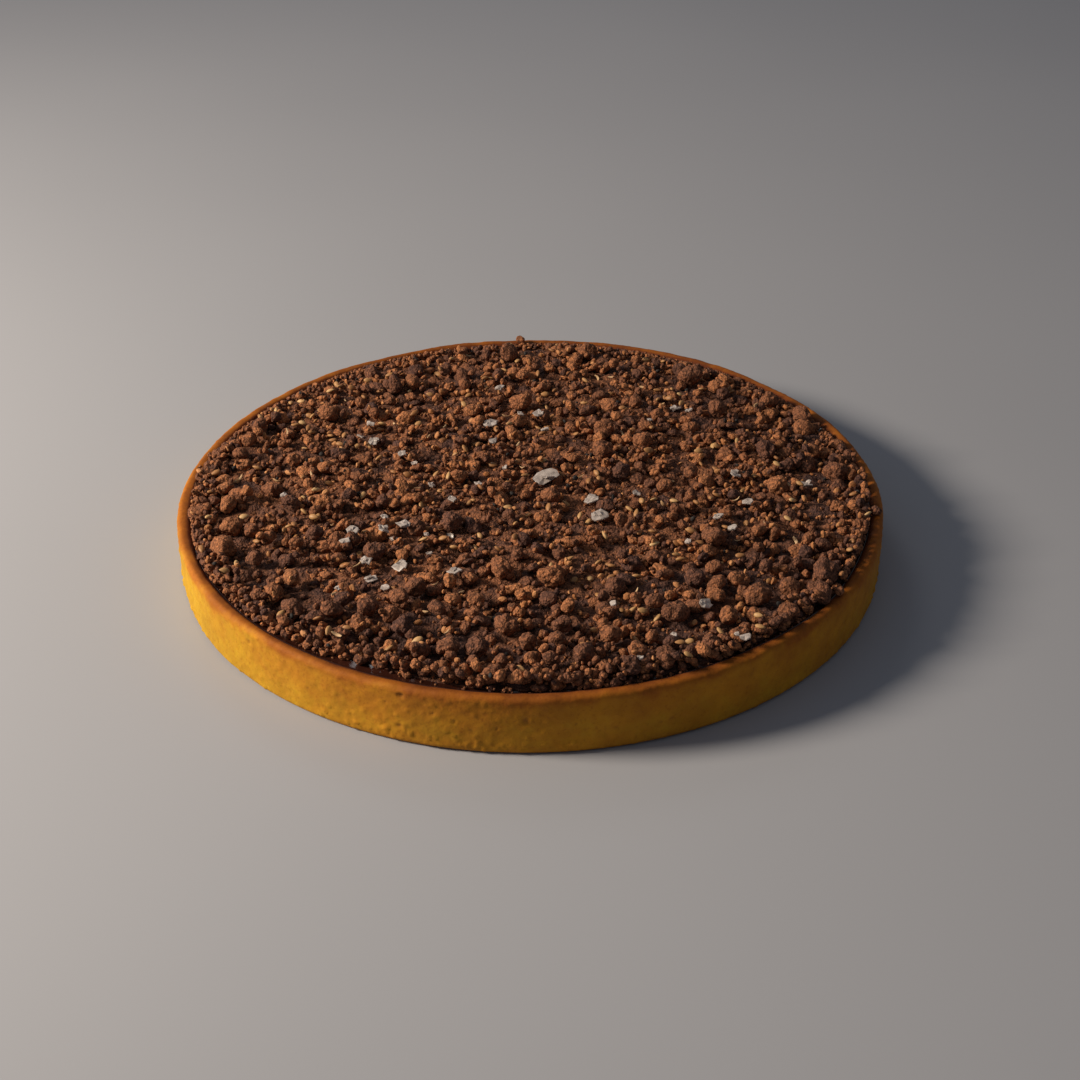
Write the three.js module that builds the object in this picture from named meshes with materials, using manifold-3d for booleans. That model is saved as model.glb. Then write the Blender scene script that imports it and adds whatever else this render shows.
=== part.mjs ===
// A round chocolate tart baked in a plain ring: a thin straight-sided crust, a dark chocolate filling that
// ends just under its rim, and a heap of cocoa crumble over it, with sesame seeds and flakes of salt.
// Millimetres, +Z up, the origin in the middle of the flat underside. The front of the tart faces -Y.
import * as THREE from "three";
import { mergeVertices } from "three/addons/utils/BufferGeometryUtils.js";
import Module from "manifold-3d";

const wasm = await Module();
wasm.setup();

// Driving dimensions
const OUTER_RADIUS = 110;
const WALL_HEIGHT = 18.4;
const RIM_THICKNESS = 4.2;
const BASE_THICKNESS = 3.6;
const FILLING_TOP = 17;
const HEAP_RADIUS = 104.2;
const HEAP_DEPTH = 3.4;
const GAP = 0.3;

// How much the baked and strewn edges wander: a height or width, and beats of [times round, start]
const RIM_RISE = 0.3;
const RIM_BEATS = [[2, 0.6], [5, 2.4], [9, 4.1], [14, 1.3]];
const RIM_SWELL = 0.45;
const SWELL_BEATS = [[3, 1.9], [7, 0.2], [12, 3.3]];
const HEAP_WAVE = 0.7;
const HEAP_BEATS = [[4, 2.2], [9, 0.7], [17, 5.0], [23, 1.1]];

// The heap stops short of the crust at the front left, where the filling shows: how far, and where
const BARE_DEPTH = 2.8;
const BARE_ANGLE = -115 * (Math.PI / 180);
const BARE_WIDTH = 10 * (Math.PI / 180);

// What lies on the core
const LUMP_SEED = 20117;
const LUMP_TRIES = 470;
const LUMP_SIZES = [4.6, 7.4];
const SEED_COUNT = 36;

const INNER_RADIUS = OUTER_RADIUS - RIM_THICKNESS;
const SIDES_AROUND = 96;
const TAU = 2 * Math.PI;

// Draws the same numbers from 0 to 1 every time.
function seeded(seed) {
  const MULTIPLIER = 16807;
  const MODULUS = 2147483647;
  let state = seed;
  return () => {
    state = (state * MULTIPLIER) % MODULUS;
    return state / MODULUS;
  };
}

const mix = (low, high, share) => low + (high - low) * share;

function smoothstep(low, high, value) {
  const t = Math.min(1, Math.max(0, (value - low) / (high - low)));
  return t * t * (3 - 2 * t);
}

// A closed wave round the tart, from -1 to 1.
function wave(angle, beats) {
  const sum = beats.reduce((total, [times, start]) => total + Math.sin(times * angle + start), 0);
  return sum / beats.length;
}

// A closed three.js geometry as a manifold-3d solid.
function solidOf(geometry) {
  const bare = geometry.clone();
  bare.deleteAttribute("normal");
  bare.deleteAttribute("uv");
  const merged = mergeVertices(bare, 1e-3);
  return new wasm.Manifold(
    new wasm.Mesh({
      numProp: 3,
      vertProperties: new Float32Array(merged.attributes.position.array),
      triVerts: new Uint32Array(merged.index.array),
    }),
  );
}

// A manifold-3d solid as a three.js geometry.
function geometryOf(solid) {
  const mesh = solid.getMesh();
  const geometry = new THREE.BufferGeometry();
  geometry.setAttribute("position", new THREE.BufferAttribute(mesh.vertProperties, mesh.numProp));
  geometry.setIndex(new THREE.BufferAttribute(mesh.triVerts, 1));
  geometry.computeVertexNormals();
  return geometry;
}

// The rim rises and falls a little round the tart, and the inner side of the wall swells in and out.
function uneven(radius, height, angle) {
  const upper = smoothstep(0.45 * WALL_HEIGHT, WALL_HEIGHT, height);
  const atWall = smoothstep(INNER_RADIUS - 2, INNER_RADIUS, radius);
  const inside = 1 - smoothstep(INNER_RADIUS, OUTER_RADIUS - 1, radius);
  const nearWall = smoothstep(INNER_RADIUS - 14, INNER_RADIUS - 4, radius);
  const swell = RIM_SWELL * wave(angle, SWELL_BEATS) * inside * nearWall;
  return [radius + swell, height + RIM_RISE * wave(angle, RIM_BEATS) * upper * atWall];
}

// Turns a profile of [radius, height] round the Z axis and makes it uneven.
function baked(profile) {
  const points = profile.map(([radius, height]) => new THREE.Vector2(radius, height));
  const geometry = new THREE.LatheGeometry(points, SIDES_AROUND);
  geometry.rotateX(Math.PI / 2);
  const position = geometry.attributes.position;
  for (let i = 0; i < position.count; i++) {
    const angle = Math.atan2(position.getY(i), position.getX(i));
    const across = Math.hypot(position.getX(i), position.getY(i));
    const [radius, height] = uneven(across, position.getZ(i), angle);
    position.setXYZ(i, radius * Math.cos(angle), radius * Math.sin(angle), height);
  }
  return solidOf(geometry);
}

// The rim in section, from the outer side over the crown to the inner side, grown by a clearance.
function rimProfile(clearance) {
  const CORNER = 1.7;
  const STEPS = 3;
  const inner = INNER_RADIUS - clearance;
  const top = WALL_HEIGHT + clearance;
  const corner = [];
  for (let i = 0; i <= STEPS; i++) {
    const turn = (i / STEPS) * (Math.PI / 2);
    corner.push([OUTER_RADIUS - CORNER * (1 - Math.cos(turn)), top - CORNER * (1 - Math.sin(turn))]);
  }
  return [...corner, [inner + 1.5, top - 0.15], [inner + 0.6, top - 0.6]];
}

// The filling's top in section: drawn up a little where it meets the crust, then flat to the middle.
function fillingProfile(clearance) {
  const DRAWN_UP = 0.55;
  const side = INNER_RADIUS - GAP;
  const top = FILLING_TOP + clearance;
  return [[side, top + DRAWN_UP], [side - 0.6, top + 0.45 * DRAWN_UP], [side - 1.6, top], [0, top]];
}

// The crust: a flat base and a wall, with a fillet inside where they meet.
function makeCrust() {
  const foot = [[0, 0], [OUTER_RADIUS - 0.9, 0], [OUTER_RADIUS - 0.2, 0.7], [OUTER_RADIUS, 2.2]];
  const side = [[OUTER_RADIUS, 0.6 * WALL_HEIGHT]];
  const innerSide = [[INNER_RADIUS, WALL_HEIGHT - 1.5], [INNER_RADIUS - 0.5, BASE_THICKNESS + 2.2]];
  const floor = [[INNER_RADIUS - 2.3, BASE_THICKNESS], [0, BASE_THICKNESS]];
  return baked([...foot, ...side, ...rimProfile(0), ...innerSide, ...floor]);
}

// The filling: it fills the crust to just under the rim.
function makeFilling() {
  const foot = BASE_THICKNESS + GAP;
  const side = INNER_RADIUS - GAP - 0.5;
  return baked([[0, foot], [side - 2.2, foot], [side, foot + 2.4], ...fillingProfile(0)]);
}

// The space of the crust and the filling, with the gap that what lies on them keeps.
function makeKeepClear() {
  const outside = OUTER_RADIUS + 5;
  const below = [[0, 0], [outside, 0], [outside, WALL_HEIGHT - 2]];
  return baked([...below, ...rimProfile(GAP), ...fillingProfile(GAP)]);
}

// How far out the heap reaches, and how high its bare core stands: level, but falling away at the edge.
function heapEdge(angle) {
  const away = Math.atan2(Math.sin(angle - BARE_ANGLE), Math.cos(angle - BARE_ANGLE));
  const bare = Math.exp(-Math.pow(away / BARE_WIDTH, 2));
  return HEAP_RADIUS + HEAP_WAVE * wave(angle, HEAP_BEATS) - BARE_DEPTH * bare;
}

function coreTop(x, y) {
  const SHOULDER = 14;
  const share = Math.hypot(x, y) / heapEdge(Math.atan2(y, x));
  return FILLING_TOP + HEAP_DEPTH * Math.sqrt(Math.max(0, 1 - Math.pow(share, SHOULDER)));
}

// The core: rings of points, each with six more than the ring inside it, thrown about by the size of a crumb,
// over a flat underside that starts below the filling's top.
function makeCore(random) {
  const RINGS = 21;
  const RISE = 2.4;
  const SHIFT = 0.3;
  const SUNK = 1;
  const EDGE_HEIGHT = 1;
  const pitch = HEAP_RADIUS / RINGS;
  const first = (ring) => (ring === 0 ? 0 : 1 + 3 * ring * (ring - 1));
  const at = (ring, i) => (ring === 0 ? 0 : first(ring) + (i % (6 * ring)));
  const positions = [0, 0, coreTop(0, 0)];
  const faces = [];
  for (let ring = 1; ring <= RINGS; ring++)
    for (let i = 0; i < 6 * ring; i++) {
      const loose = ring < RINGS ? 1 : 0;
      const angle = (TAU * (i + loose * SHIFT * mix(-1, 1, random()))) / (6 * ring);
      const radius = (heapEdge(angle) * ring) / RINGS + loose * SHIFT * pitch * mix(-1, 1, random());
      const x = radius * Math.cos(angle);
      const y = radius * Math.sin(angle);
      const z = loose ? coreTop(x, y) + RISE * mix(-0.5, 0.5, random()) : FILLING_TOP + EDGE_HEIGHT;
      positions.push(x, y, z);
    }
  for (let ring = 0; ring < RINGS; ring++)
    for (let sector = 0; sector < 6; sector++)
      for (let i = 0; i <= ring; i++) {
        const inner = sector * ring + i;
        const outer = sector * (ring + 1) + i;
        faces.push(at(ring, inner), at(ring + 1, outer), at(ring + 1, outer + 1));
        if (i < ring) faces.push(at(ring, inner), at(ring + 1, outer + 1), at(ring, inner + 1));
      }
  const edge = first(RINGS);
  const around = 6 * RINGS;
  const under = positions.length / 3;
  for (let i = 0; i < around; i++)
    positions.push(positions[3 * (edge + i)], positions[3 * (edge + i) + 1], FILLING_TOP - SUNK);
  positions.push(0, 0, FILLING_TOP - SUNK);
  for (let i = 0; i < around; i++) {
    const next = (i + 1) % around;
    faces.push(edge + i, under + i, under + next, edge + i, under + next, edge + next);
    faces.push(under + around, under + next, under + i);
  }
  const geometry = new THREE.BufferGeometry();
  geometry.setAttribute("position", new THREE.Float32BufferAttribute(positions, 3));
  geometry.setIndex(faces);
  return solidOf(geometry);
}

// A closed piece tilted, turned and set down at a place.
function placed(geometry, x, y, z, tilt, turn) {
  geometry.rotateX(tilt);
  geometry.rotateZ(turn);
  geometry.translate(x, y, z);
  return solidOf(geometry);
}

// The lumps that stand out most, as [along X, along Y, size across].
const LANDMARK_LUMPS = [
  [-91, -38, 8.0], [-90, -26, 6.4], [-73, -62, 6.4], [-67, -70, 7.4], [-56, -71, 6.2], [-46, -70, 6.2],
  [-48, -78, 5.0], [-46, -91, 4.6], [-37, -66, 6.5], [-36, -80, 6.2], [-30, -90, 5.4], [-29, -97, 4.4],
  [-24, -97, 5.6], [-18, -99, 4.8], [-15, -90, 6.2], [-11, -101, 6.6], [-7, -80, 6.8], [-2, -102, 5.0],
  [-1, -87, 5.6], [4, -101, 4.8], [5, -95, 5.0], [7, -87, 5.6], [12, -102, 4.8], [14, -94, 6.6],
  [19, -99, 5.2], [26, -98, 6.4], [36, -94, 7.4], [43, -91, 4.8], [49, -88, 6.4], [57, -84, 6.0],
  [66, -78, 4.8], [72, -72, 5.6], [74, -62, 6.0], [64, -66, 7.4], [59, -58, 5.6], [82, -63, 7.0],
  [85, -54, 9.4], [6, -56, 8.0], [57, 72, 8.8], [-47, 66, 8.2], [-55, 76, 6.8], [92, 44, 7.4],
  [82, 54, 6.6], [97, 4, 7.2], [37, 25, 6.8], [-24, -25, 6.4], [29, 5, 6.0],
];

// How likely a coarse lump is at a place: mostly in front and at the right, near the rim.
function coarseShare(x, y) {
  const edge = smoothstep(0.45, 0.9, Math.hypot(x, y) / HEAP_RADIUS);
  const front = smoothstep(0.1, 0.85, -y / HEAP_RADIUS);
  const right = smoothstep(0.2, 0.9, x / HEAP_RADIUS);
  return 0.08 + edge * (0.16 + 0.24 * right + 0.55 * front);
}

// Coarse lumps as {x, y, size}: the landmarks first, then a draw that keeps them apart, and off the back rim.
function layLumps() {
  const CLOSEST = 0.48;
  const BACK_ROOM = 5;
  const random = seeded(LUMP_SEED);
  const lumps = LANDMARK_LUMPS.map(([x, y, size]) => ({ x, y, size }));
  for (let i = 0; i < LUMP_TRIES; i++) {
    const angle = TAU * random();
    const radius = (HEAP_RADIUS - 1) * Math.sqrt(random());
    const size = mix(...LUMP_SIZES, Math.pow(random(), 1.8));
    const chance = random();
    const x = radius * Math.cos(angle);
    const y = radius * Math.sin(angle);
    const backRoom = BACK_ROOM * smoothstep(0, 0.6, y / HEAP_RADIUS);
    const limit = heapEdge(angle) + 0.4 - size / 2 - backRoom;
    const apart = (lump) => Math.hypot(lump.x - x, lump.y - y) > CLOSEST * (lump.size + size);
    if (radius < limit && chance < coarseShare(x, y) && lumps.every(apart)) lumps.push({ x, y, size });
  }
  return lumps;
}

// A rough lump with twenty faces, about a third of it sunk into the core, or resting on the filling.
function makeLump({ x, y, size }, random) {
  const LIFT = 0.17;
  const REST = 0.42;
  const lump = new THREE.IcosahedronGeometry(size / 2, 0);
  lump.deleteAttribute("normal");
  lump.deleteAttribute("uv");
  const rough = mergeVertices(lump);
  const position = rough.attributes.position;
  const across = [mix(0.98, 1.14, random()), mix(0.84, 1, random()), mix(0.76, 0.94, random())];
  for (let i = 0; i < position.count; i++) {
    const swell = mix(0.86, 1.16, random());
    const point = [position.getX(i), position.getY(i), position.getZ(i)];
    position.setXYZ(i, ...point.map((value, axis) => value * swell * across[axis]));
  }
  const height = Math.max(coreTop(x, y) + LIFT * size, FILLING_TOP + REST * size);
  return placed(rough, x, y, height, 0.5 * mix(-1, 1, random()), TAU * random());
}

// The larger flakes of salt, as [along X, along Y, length].
const SALT_FLAKES = [
  [5, 3, 7], [21, -20, 5.5], [19, -11, 5], [-13, 39, 5], [-38, -48, 4.8], [-38, -29, 4.4], [50, 51, 4.4],
  [87, -2, 4.4], [-22, -53, 4.2], [-53, -32, 4], [-40, -33, 4], [65, 2, 3.9], [-10, 63, 3.8], [-44, -32, 3.7],
  [-51, 27, 3.7], [-48, -47, 3.8], [-46, -53, 3.7], [57, -25, 3.7], [49, -71, 3.6], [3, 43, 3.5],
];

// A flake of salt: a small crooked plate that lies aslant.
function makeFlake([x, y, length], random) {
  const CORNERS = 5;
  const THICKNESS = 0.7;
  const outline = new THREE.Shape();
  for (let i = 0; i < CORNERS; i++) {
    const angle = (TAU * (i + 0.5 * random())) / CORNERS;
    const reach = (length / 2) * mix(0.8, 1.1, random());
    outline[i === 0 ? "moveTo" : "lineTo"](reach * Math.cos(angle), 0.66 * reach * Math.sin(angle));
  }
  outline.closePath();
  const flake = new THREE.ExtrudeGeometry(outline, { depth: THICKNESS, bevelEnabled: false });
  return placed(flake, x, y, coreTop(x, y) + 0.5, mix(0.15, 0.6, random()), TAU * random());
}

// Sesame seeds lie all over the heap, spread by the golden angle, beside the lumps.
function laySeeds(lumps) {
  const GOLDEN_ANGLE = Math.PI * (3 - Math.sqrt(5));
  const seeds = [];
  for (let i = 0; i < SEED_COUNT; i++) {
    const radius = (HEAP_RADIUS - 6) * Math.sqrt((i + 0.5) / SEED_COUNT);
    const x = radius * Math.cos(i * GOLDEN_ANGLE);
    const y = radius * Math.sin(i * GOLDEN_ANGLE);
    const free = lumps.every((lump) => Math.hypot(lump.x - x, lump.y - y) > lump.size / 2 + 0.9);
    if (free) seeds.push({ x, y });
  }
  return seeds;
}

// A sesame seed: a flat drop with six sides.
function makeSeed({ x, y }, random) {
  const LENGTH = 3.1;
  const WIDTH = 1.9;
  const THICKNESS = 1.2;
  const seed = new THREE.SphereGeometry(0.5, 6, 3);
  seed.scale(LENGTH, WIDTH, THICKNESS);
  return placed(seed, x, y, coreTop(x, y) + 0.8, 0.35 * mix(-1, 1, random()), TAU * random());
}

// The heap: the core with its lumps, flakes and seeds fused on, cut clear of the crust and the filling.
function makeCrumble() {
  const random = seeded(LUMP_SEED + 1);
  const core = makeCore(random);
  const lumps = layLumps();
  const pieces = [
    ...lumps.map((lump) => makeLump(lump, random)),
    ...SALT_FLAKES.map((flake) => makeFlake(flake, random)),
    ...laySeeds(lumps).map((seed) => makeSeed(seed, random)),
  ];
  const heap = pieces.reduce((joined, piece) => joined.add(piece), core).subtract(makeKeepClear());
  return heap.decompose().reduce((best, body) => (body.volume() > best.volume() ? body : best));
}

// A named sub-part with its colour.
function node(name, solid, color, roughness) {
  const material = new THREE.MeshStandardMaterial({ color, roughness, metalness: 0 });
  const mesh = new THREE.Mesh(geometryOf(solid), material);
  mesh.name = name;
  return mesh;
}

const tart = new THREE.Group();
tart.add(
  node("crust", makeCrust(), 0xcf9433, 0.82),
  node("filling", makeFilling(), 0x2e160e, 0.25),
  node("crumble", makeCrumble(), 0x63381f, 0.95),
);

export default tart;
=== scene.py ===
# A round chocolate tart: golden crust, glossy dark filling, and a heap of cocoa crumble strewn with sesame
# seeds, nut bits and flakes of salt. Shapes are worked out in millimetres and go to Blender in metres.
import math

import bmesh
import bpy
import numpy as np
from mathutils import Matrix, Vector


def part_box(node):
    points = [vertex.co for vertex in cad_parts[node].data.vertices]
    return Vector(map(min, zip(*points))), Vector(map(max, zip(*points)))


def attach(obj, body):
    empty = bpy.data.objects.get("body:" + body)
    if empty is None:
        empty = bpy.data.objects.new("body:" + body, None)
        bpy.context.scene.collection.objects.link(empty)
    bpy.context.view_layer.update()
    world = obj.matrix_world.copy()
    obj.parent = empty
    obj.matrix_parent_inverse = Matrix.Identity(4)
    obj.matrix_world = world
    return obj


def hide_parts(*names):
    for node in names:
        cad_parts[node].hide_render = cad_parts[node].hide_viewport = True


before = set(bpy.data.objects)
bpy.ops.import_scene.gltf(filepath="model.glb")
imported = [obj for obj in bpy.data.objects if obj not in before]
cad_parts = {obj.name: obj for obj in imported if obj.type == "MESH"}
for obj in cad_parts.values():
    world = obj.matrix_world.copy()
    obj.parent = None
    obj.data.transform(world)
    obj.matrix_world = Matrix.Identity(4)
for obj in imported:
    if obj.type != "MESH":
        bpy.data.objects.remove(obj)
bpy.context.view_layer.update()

MM = 0.001
TAU = 2 * math.pi

# Sizes of the tart, the same as in the solids
crust_low, crust_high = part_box("crust")
OUTER_RADIUS = (crust_high.x - crust_low.x) / 2 / MM
WALL_HEIGHT = 18.4
RIM_THICKNESS = 4.2
BASE_THICKNESS = 3.6
FILLING_TOP = 17
HEAP_RADIUS = 104.2
HEAP_DEPTH = 3.4
INNER_RADIUS = OUTER_RADIUS - RIM_THICKNESS

# How much the edges wander: a height or width, and beats of (times round, start)
RIM_RISE = 0.3
RIM_BEATS = ((2, 0.6), (5, 2.4), (9, 4.1), (14, 1.3))
RIM_SWELL = 0.45
SWELL_BEATS = ((3, 1.9), (7, 0.2), (12, 3.3))
HEAP_WAVE = 0.7
HEAP_BEATS = ((4, 2.2), (9, 0.7), (17, 5.0), (23, 1.1))

# The heap stops short of the crust at the front left, where the filling shows: how far, and where
BARE_DEPTH = 2.8
BARE_ANGLE = math.radians(-115)
BARE_WIDTH = math.radians(10)

# How the coarse lumps are drawn, and those that stand out most, as (along X, along Y, size across)
LUMP_SEED = 20117
LUMP_TRIES = 470
LUMP_SIZES = (4.6, 7.4)
LANDMARK_LUMPS = (
    (-91, -38, 8.0), (-90, -26, 6.4), (-73, -62, 6.4), (-67, -70, 7.4), (-56, -71, 6.2), (-46, -70, 6.2),
    (-48, -78, 5.0), (-46, -91, 4.6), (-37, -66, 6.5), (-36, -80, 6.2), (-30, -90, 5.4), (-29, -97, 4.4),
    (-24, -97, 5.6), (-18, -99, 4.8), (-15, -90, 6.2), (-11, -101, 6.6), (-7, -80, 6.8), (-2, -102, 5.0),
    (-1, -87, 5.6), (4, -101, 4.8), (5, -95, 5.0), (7, -87, 5.6), (12, -102, 4.8), (14, -94, 6.6),
    (19, -99, 5.2), (26, -98, 6.4), (36, -94, 7.4), (43, -91, 4.8), (49, -88, 6.4), (57, -84, 6.0),
    (66, -78, 4.8), (72, -72, 5.6), (74, -62, 6.0), (64, -66, 7.4), (59, -58, 5.6), (82, -63, 7.0),
    (85, -54, 9.4), (6, -56, 8.0), (57, 72, 8.8), (-47, 66, 8.2), (-55, 76, 6.8), (92, 44, 7.4),
    (82, 54, 6.6), (97, 4, 7.2), (37, 25, 6.8), (-24, -25, 6.4), (29, 5, 6.0),
)

# Crumbs that lie on the rim, as (along X, along Y, size across)
RIM_CRUMBS = ((106, -18, 3.8), (-3, 106, 3.6), (88, -62, 3.6), (-104, 22, 2.4))

# Flakes of salt, as (along X, along Y, length)
SALT_FLAKES = (
    (5, 3, 7), (21, -20, 5.5), (19, -11, 5), (-13, 39, 5), (-38, -48, 4.8), (-38, -29, 4.4), (50, 51, 4.4),
    (87, -2, 4.4), (-22, -53, 4.2), (-53, -32, 4), (-40, -33, 4), (65, 2, 3.9), (-10, 63, 3.8),
    (-44, -32, 3.7), (-51, 27, 3.7), (-48, -47, 3.8), (-46, -53, 3.7), (57, -25, 3.7), (49, -71, 3.6),
    (3, 43, 3.5), (-12, 25, 3.4), (58, -88, 3.4), (67, -16, 3.1), (61, -28, 3), (-55, -37, 3), (-53, 38, 3),
    (5, 31, 3), (-41, 16, 2.9), (-24, -13, 2.8), (-76, -11, 2.8), (65, 52, 2.7), (-42, -57, 2.6),
    (-55, -60, 2.6), (-16, -1, 2.5), (-31, 0, 2.5), (33, -12, 2.5), (39, -83, 2.5), (-44, -24, 2.4),
    (-24, -29, 2.4), (47, -36, 2.4), (54, 49, 2.4), (-56, 34, 2.3), (-3, 42, 2.3), (23, -70, 2.2),
    (40, 37, 2), (-8, 9, 1.9), (-37, 12, 1.9), (56, -86, 1.9), (29, -97, 1.9), (-31, -32, 1.8),
    (-30, -40, 1.8),
)


# Small sums

def seeded(seed):
    """Draws the same numbers from 0 to 1 every time, as the solids do."""
    multiplier, modulus = 16807, 2147483647
    while True:
        seed = (seed * multiplier) % modulus
        yield seed / modulus


def mix(low, high, share):
    return low + (high - low) * share


def smoothstep(low, high, value):
    t = np.clip((value - low) / (high - low), 0, 1)
    return t * t * (3 - 2 * t)


def wave(angle, beats):
    """A closed wave round the tart, from -1 to 1."""
    return sum(np.sin(times * angle + start) for times, start in beats) / len(beats)


def ripple(points, length, seed, waves=28):
    """Smooth noise of about -1 to 1 at points in space, with bumps of about half the given length."""
    rng = np.random.default_rng(seed)
    total = np.zeros(points.shape[:-1])
    for _ in range(waves):
        direction = rng.normal(size=3)
        direction *= TAU / (length * rng.uniform(0.7, 1.5) * np.linalg.norm(direction))
        total += np.sin(points @ direction + rng.uniform(0, TAU))
    return total * math.sqrt(2 / waves) * 0.6


def unit_vectors(rng, *shape):
    vectors = rng.normal(size=(*shape, 3))
    return vectors / np.linalg.norm(vectors, axis=-1, keepdims=True)


# Making meshes

def mesh_object(name, points, face_sets, slot, node, material, **attributes):
    """A smooth mesh that stands for a node of the solids. Points are in millimetres."""
    mesh = bpy.data.meshes.new(name)
    mesh.vertices.add(len(points))
    mesh.vertices.foreach_set("co", (points * MM).astype(np.float32).ravel())
    corners = np.concatenate([faces.ravel() for faces in face_sets]).astype(np.int32)
    sides = np.concatenate([np.full(len(faces), faces.shape[1]) for faces in face_sets])
    mesh.loops.add(len(corners))
    mesh.loops.foreach_set("vertex_index", corners)
    mesh.polygons.add(len(sides))
    mesh.polygons.foreach_set("loop_start", (np.cumsum(sides) - sides).astype(np.int32))
    mesh.polygons.foreach_set("use_smooth", np.ones(len(sides), dtype=bool))
    mesh.update(calc_edges=True)
    for key, values in attributes.items():
        attribute = mesh.attributes.new(key, "FLOAT", "POINT")
        attribute.data.foreach_set("value", values.astype(np.float32).ravel())
    mesh.materials.append(material)
    piece = bpy.data.objects.new(name, mesh)
    bpy.context.collection.objects.link(piece)
    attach(piece, "root")
    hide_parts(node)
    return piece


def flat_sided(piece):
    piece.data.polygons.foreach_set("use_smooth", np.zeros(len(piece.data.polygons), dtype=bool))


def turned(profile, around):
    """Points and faces of a profile of (radius, height), from axis to axis, turned round the Z axis."""
    middle = np.array(profile[1:-1], dtype=float)
    angle = np.arange(around) * TAU / around
    rings = np.empty((len(middle), around, 3))
    rings[..., 0] = middle[:, :1] * np.cos(angle)
    rings[..., 1] = middle[:, :1] * np.sin(angle)
    rings[..., 2] = middle[:, 1:]
    poles = np.array([[0, 0, profile[0][1]], [0, 0, profile[-1][1]]], dtype=float)
    points = np.concatenate([rings.reshape(-1, 3), poles])
    here = np.arange(around)
    after = (here + 1) % around
    quads = []
    for ring in range(len(middle) - 1):
        low, high = ring * around, (ring + 1) * around
        quads.append(np.stack([low + here, low + after, high + after, high + here], 1))
    first, last = len(points) - 2, len(points) - 1
    end = (len(middle) - 1) * around
    fans = [np.stack([np.full(around, first), after, here], 1),
            np.stack([np.full(around, last), end + here, end + after], 1)]
    return points, np.concatenate(quads), np.concatenate(fans)


def ball(subdivisions):
    """Points and triangles of a unit sphere of even triangles."""
    form = bmesh.new()
    bmesh.ops.create_icosphere(form, subdivisions=subdivisions, radius=1)
    points = np.array([vertex.co[:] for vertex in form.verts])
    faces = np.array([[vertex.index for vertex in face.verts] for face in form.faces])
    form.free()
    return points, faces


def about(axis, angle):
    """Rotation matrices about axis 0, 1 or 2, as (3, 3, count)."""
    after, last = (axis + 1) % 3, (axis + 2) % 3
    matrix = np.zeros((3, 3, len(angle)))
    matrix[axis, axis] = 1
    matrix[after, after] = matrix[last, last] = np.cos(angle)
    matrix[after, last] = -np.sin(angle)
    matrix[last, after] = np.sin(angle)
    return matrix


def turns(rng, count, tilt=1.0):
    """Rotation matrices: any heading, with a lean and a roll of up to the given share of any."""
    heading = rng.uniform(0, TAU, count)
    lean = rng.uniform(-1, 1, count) * tilt * math.pi / 2
    roll = rng.uniform(-1, 1, count) * tilt * math.pi
    return np.einsum("abn,bcn,cdn->nad", about(2, heading), about(1, lean), about(0, roll))


def rough_balls(points, rng, count, grains, grain_size, grit, worn=0.6, squash=(0.7, 1.0)):
    """Clumps of radius about 1, as (count, points, 3): grains that stick together, broken off and gritty."""
    smallest, facets, steepest = 0.6, 7, 0.2
    centres = unit_vectors(rng, count, grains)
    size = rng.uniform(*grain_size, (count, 1, grains))
    out = rng.uniform(0.5, 0.8, (count, 1, grains)) * (1.12 - size)
    nearness = np.einsum("vc,nkc->nvk", points, centres)
    under_root = size ** 2 - out ** 2 * (1 - nearness ** 2)
    reach = np.where(under_root > 0, out * nearness + np.sqrt(np.maximum(under_root, 0)), 0)
    radius = np.maximum(reach.max(-1), smallest)
    flats = unit_vectors(rng, count, facets)
    cut = rng.uniform(0.62, 1.1, (count, 1, facets))
    toward = np.einsum("vc,nkc->nvk", points, flats)
    limit = np.where(toward > steepest, cut / np.maximum(toward, steepest), 9).min(-1)
    rough = 1 + grit * rng.uniform(-1, 1, (count, len(points)))
    radius = np.minimum(radius, mix(radius, limit, worn)) * rough
    stretch = np.stack([rng.uniform(*span, count) for span in ((0.98, 1.26), (0.82, 1.06), squash)], 1)
    return points[None] * radius[..., None] * stretch[:, None]


def strewn(name, forms, faces, spots, radii, spins, material, rng, tints=(0, 1)):
    """One mesh of many pieces of crumble: each scaled, turned and moved to its spot, with its own tint."""
    placed = np.einsum("nad,nvd->nva", spins, forms * radii[:, None, None]) + spots[:, None]
    count, size = placed.shape[:2]
    joined = (faces[None] + (np.arange(count) * size)[:, None, None]).reshape(-1, faces.shape[1])
    tint = np.repeat(rng.uniform(*tints, count), size)
    return mesh_object(name, placed.reshape(-1, 3), [joined], "crumble", "crumble", material, tint=tint)


# Materials

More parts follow.
